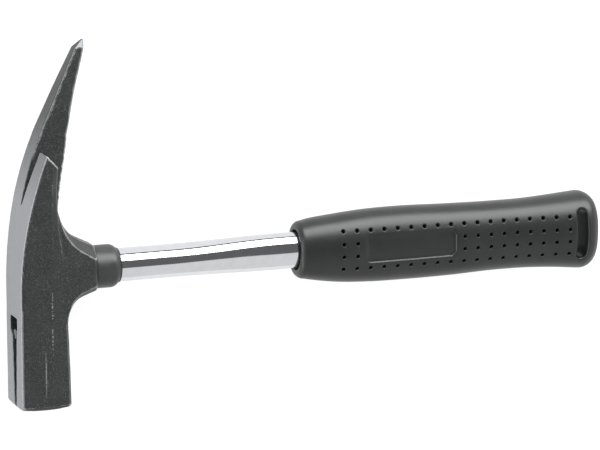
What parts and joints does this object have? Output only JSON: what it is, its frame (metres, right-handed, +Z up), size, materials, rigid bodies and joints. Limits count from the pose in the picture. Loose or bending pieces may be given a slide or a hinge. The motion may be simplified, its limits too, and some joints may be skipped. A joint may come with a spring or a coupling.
{
  "type": "roofing hammer",
  "caption": "Roofing hammer with a square striking face, pointed spike, nail claw, magnetic nail holder, chromed tube handle and moulded soft grip.",
  "frame": {"origin": "centre of the bottom of the bounding box, with the hammer lying on its side", "axes": "+X along the handle from the head to the grip, +Y from the striking face towards the point of the spike, +Z up, square to the forging's mid-plane"},
  "size_m": [0.3192, 0.183, 0.0334],
  "materials": {
    "head_steel": "fine-grained satin dark grey lacquer on forged steel, spike point ground bright",
    "magnet_steel": "satin nickel-plated magnet",
    "collar_plastic": "satin black moulded plastic",
    "tube_chrome": "bright chrome plate",
    "plug_steel": "turned plain steel",
    "end_plug_plastic": "plain black moulded plastic",
    "grip_rubber": "satin charcoal soft moulding with small round pits"
  },
  "bodies": {
    "root": {"hammer_head": "head_steel", "nail_magnet": "magnet_steel", "neck_collar": "collar_plastic", "handle_tube": "tube_chrome", "expander_plug": "plug_steel", "tube_end_plug": "end_plug_plastic", "grip": "grip_rubber"}
  },
  "joints": []
}
